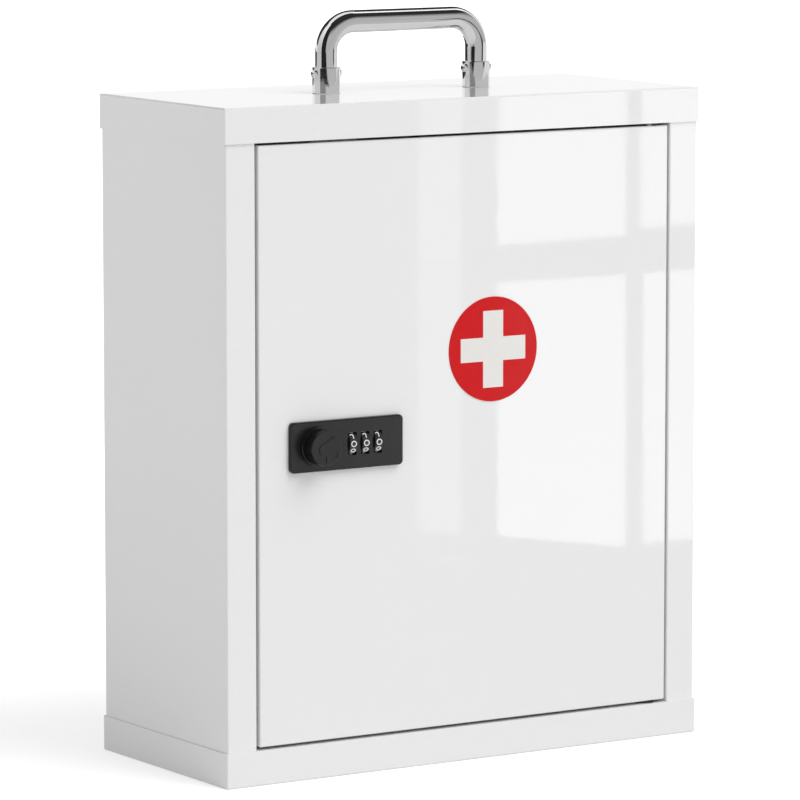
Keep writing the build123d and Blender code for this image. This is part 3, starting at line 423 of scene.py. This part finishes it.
def card(name, rows, strength, strength_top=None):
    """A card that only gloss and chrome see, as a studio's flags and windows are seen in them.

    rows is a list of rows of points. Its light may change evenly from its lowest to its highest.
    """
    m = bpy.data.materials.new(name)
    m.use_nodes = True
    t = m.node_tree
    t.nodes.clear()
    light = t.nodes.new("ShaderNodeEmission")
    light.inputs["Color"].default_value = (1, 1, 1, 1)
    light.inputs["Strength"].default_value = strength
    if strength_top is not None:
        coordinates = t.nodes.new("ShaderNodeTexCoord")
        parts = t.nodes.new("ShaderNodeSeparateXYZ")
        ramp = t.nodes.new("ShaderNodeMapRange")
        heights = [point[2] for row in rows for point in row]
        set_range(ramp, min(heights), max(heights), strength, strength_top)
        t.links.new(coordinates.outputs["Object"], parts.inputs[0])
        t.links.new(parts.outputs["Z"], ramp.inputs["Value"])
        t.links.new(ramp.outputs["Result"], light.inputs["Strength"])
    out = t.nodes.new("ShaderNodeOutputMaterial")
    t.links.new(light.outputs[0], out.inputs["Surface"])
    mesh = bpy.data.meshes.new(name)
    across = len(rows[0])
    points = [tuple(point) for row in rows for point in row]
    faces = [
        (r * across + c, r * across + c + 1, (r + 1) * across + c + 1, (r + 1) * across + c)
        for r in range(len(rows) - 1)
        for c in range(across - 1)
    ]
    mesh.from_pydata(points, [], faces)
    mesh.materials.append(m)
    obj = bpy.data.objects.new(name, mesh)
    scene.collection.objects.link(obj)
    obj.visible_camera = False
    obj.visible_diffuse = False
    obj.visible_transmission = False
    obj.visible_volume_scatter = False
    obj.visible_shadow = False


def azimuth_steps(low, high):
    """Angles from low to high in degrees, no more than CARD_STEP apart, as radians."""
    steps = max(2, math.ceil((high - low) / CARD_STEP))
    return [math.radians(low + (high - low) * k / steps) for k in range(steps + 1)]


def screen(name, azimuths, heights, strength, strength_top=None):
    """A card that curves round the object. Azimuth 0 is in front, at -Y, and 90 is at +X."""
    rows = [
        [
            (SCREEN_DISTANCE * math.sin(a), -SCREEN_DISTANCE * math.cos(a), z)
            for a in azimuth_steps(*azimuths)
        ]
        for z in heights
    ]
    card(name, rows, strength, strength_top)


def ledge(name, azimuths, strength, z, nearest=0.0):
    """A flat sector just below the cabinet's top and outside it, which only the handle sees."""
    inner, outer = [], []
    for a in azimuth_steps(*azimuths):
        to_side = TOP_EDGE.x / max(abs(math.sin(a)), NEVER_ZERO)
        to_front = TOP_EDGE.y / max(abs(math.cos(a)), NEVER_ZERO)
        start = max(min(to_side, to_front) - LEDGE_OVERLAP, nearest)
        inner.append((start * math.sin(a), -start * math.cos(a), z))
        outer.append((SCREEN_DISTANCE * math.sin(a), -SCREEN_DISTANCE * math.cos(a), z))
    card(name, [inner, outer], strength)


FLOOR_SIZE = 30
FLOOR_NEAR = 0.25
FLOOR_FAR = 1.6
FLOOR_LIFT = 0.46
FLOOR_LIFT_FAR = 0.7
WORLD_DIFFUSE = 0.57
CARD_STEP = 4
SCREEN_DISTANCE = 2.1
CARD_TOP = 4.6
NEVER_ZERO = 0.001
LEDGE_OVERLAP = 0.002
LEDGE_Z = TOP_EDGE.z - 0.0003

floor_mesh = bpy.data.meshes.new("floor")
floor_corners = [(x * FLOOR_SIZE, y * FLOOR_SIZE, 0) for x, y in ((-1, -1), (1, -1), (1, 1), (-1, 1))]
floor_mesh.from_pydata(floor_corners, [], [(0, 1, 2, 3)])
floor_mesh.materials.append(floor_material())
floor = bpy.data.objects.new("floor", floor_mesh)
scene.collection.objects.link(floor)

# What the chrome and the gloss coat see: dark flags, grey walls, a soft box and a window.
# Each ledge has its azimuths in degrees, its light, its height and where it starts.
LINE_Z = LEDGE_Z + 0.0001
for name, azimuths, strength, z, nearest in (
    ("ledge_left", (-84, -38), 0.02, LEDGE_Z, 0),
    ("ledge_front", (-38, 46), 0.55, LEDGE_Z, 0),
    ("ledge_line", (36, 52), 0.03, LINE_Z, 0.22),
    ("ledge_right", (46, 125), 0.85, LEDGE_Z, 0),
    ("ledge_behind", (147, 220), 0.03, LEDGE_Z, 0),
    ("ledge_far_left", (-140, -84), 0.62, LEDGE_Z, 0),
):
    ledge(name, azimuths, strength, z, nearest)

# Each screen has its azimuths, its heights in metres and its light at the bottom and the top.
for name, azimuths, heights, strength, strength_top in (
    ("flag_left", (-84, -38), (LEDGE_Z, CARD_TOP), 0.02, None),
    ("wall_far_left", (-140, -84), (LEDGE_Z, 2.3), 0.62, 0.95),
    ("wall_far_left_high", (-140, -84), (2.3, CARD_TOP), 1.0, None),
    ("wall_right_low", (-38, 94), (LEDGE_Z, 1.2), 0.50, 0.54),
    ("wall_right_high", (-38, 94), (1.2, 2.3), 0.54, 0.04),
    ("flag_right", (-38, 94), (2.3, CARD_TOP), 0.03, None),
    ("soft_box", (94, 119), (2.2, CARD_TOP), 1.3, None),
    ("flag_behind", (119, 220), (0.64, 3.1), 0.03, None),
    ("wall_behind_high", (119, 220), (3.1, CARD_TOP), 1.0, None),
):
    screen(name, azimuths, heights, strength, strength_top)

# The lid overhead is dark in front and pale behind; its edges are shares of SCREEN_DISTANCE.
for name, near, far, strength in (("lid_front", -1, 0.2, 0.03), ("lid_behind", 0.2, 1, 1.0)):
    card(name, [
        [(side * SCREEN_DISTANCE, depth * SCREEN_DISTANCE, CARD_TOP) for side in (-1, 1)]
        for depth in (near, far)
    ], strength)

WINDOW_Y = -0.669
WINDOW_LIGHT = 4.2
REVEAL_LIGHT = 2.6
REVEAL_LIGHT_LOW = 2.5
SILL_LIGHT = 2.2


def seen_in_front(pixel):
    """The point on the window's plane that the camera sees in the gloss of the cabinet's front."""
    across = (pixel[0] - PICTURE_MIDDLE) / FOCAL_PIXELS
    down = (pixel[1] - PICTURE_MIDDLE) / FOCAL_PIXELS
    forward = Vector((
        math.sin(CAMERA_YAW) * math.cos(CAMERA_PITCH),
        math.cos(CAMERA_YAW) * math.cos(CAMERA_PITCH),
        -math.sin(CAMERA_PITCH),
    ))
    right = Vector((math.cos(CAMERA_YAW), -math.sin(CAMERA_YAW), 0))
    ray = forward + right * across - right.cross(forward) * down
    hit = CAMERA_POINT + ray * ((DOOR_FRONT - CAMERA_POINT.y) / ray.y)
    ray.y = -ray.y
    return hit + ray * ((WINDOW_Y - DOOR_FRONT) / ray.y)


# Each piece of the window has its corners as they show in the picture, in pixels, and its light.
for name, corners, strength in (
    ("pane_upper_left", ((497.5, 84), (625.8, 80), (625.8, 235.5), (497.5, 245.5)), WINDOW_LIGHT),
    ("pane_upper_right", ((640.5, 79), (712, 77), (712, 221.5), (640.5, 228.5)), WINDOW_LIGHT),
    ("pane_lower_left", ((497.5, 282.7), (625.8, 274.7), (625.8, 547), (497.5, 535.7)), WINDOW_LIGHT),
    ("pane_lower_right", ((643, 273.3), (712, 267.5), (712, 554.5), (643, 548.4)), WINDOW_LIGHT),
    ("window_reveal", ((418, 86), (461, 85), (461, 262), (418, 262)), REVEAL_LIGHT),
    ("window_reveal_low", ((418, 264), (461, 264), (461, 533), (418, 533)), REVEAL_LIGHT_LOW),
    ("sill_line", ((430, 556), (712, 586), (712, 590), (430, 560)), SILL_LIGHT),
):
    a, b, c, d = (seen_in_front(corner) for corner in corners)
    card(name, [[d, c], [a, b]], strength)

# A pale wall level with the front, so that the right-hand side doesn't show the window from behind
card("side_wall", [
    [(TOP_EDGE.x + LEDGE_OVERLAP, DOOR_FRONT, 0), (SCREEN_DISTANCE, DOOR_FRONT, 0)],
    [(TOP_EDGE.x + LEDGE_OVERLAP, DOOR_FRONT, LEDGE_Z), (SCREEN_DISTANCE, DOOR_FRONT, LEDGE_Z)],
], 1.0)

world = bpy.data.worlds.new("studio")
scene.world = world
world.use_nodes = True
tree = world.node_tree
background = tree.nodes["Background"]
background.inputs["Color"].default_value = (1, 1, 1, 1)
level = tree.nodes.new("ShaderNodeMapRange")
level.inputs["To Min"].default_value = WORLD_DIFFUSE
level.inputs["To Max"].default_value = 1.0
tree.links.new(seen_plainly(tree), level.inputs["Value"])
tree.links.new(level.outputs["Result"], background.inputs["Strength"])


def sun(name, azimuth, elevation, width, strength):
    """Even light from afar, its angles and its width across in degrees. Gloss doesn't show it."""
    data = bpy.data.lights.new(name, "SUN")
    data.energy = strength
    data.angle = math.radians(width)
    obj = bpy.data.objects.new(name, data)
    scene.collection.objects.link(obj)
    a, e = math.radians(azimuth), math.radians(elevation)
    towards = Vector((math.sin(a) * math.cos(e), -math.cos(a) * math.cos(e), math.sin(e)))
    obj.rotation_euler = (-towards).to_track_quat("-Z", "Y").to_euler()
    obj.visible_glossy = False


sun("key", 33, 52, 40, 1.54)

# ------------------------------------------------------------------ camera

camera_data = bpy.data.cameras.new("camera")
camera = bpy.data.objects.new("camera", camera_data)
scene.collection.objects.link(camera)
camera.location = CAMERA_POINT
camera.rotation_euler = (math.pi / 2 - CAMERA_PITCH, 0, -CAMERA_YAW)
camera_data.lens = CAMERA_LENS
camera_data.sensor_width = SENSOR_WIDTH
camera_data.clip_start = 0.05
camera_data.clip_end = 200
scene.camera = camera

scene.view_settings.view_transform = "Standard"
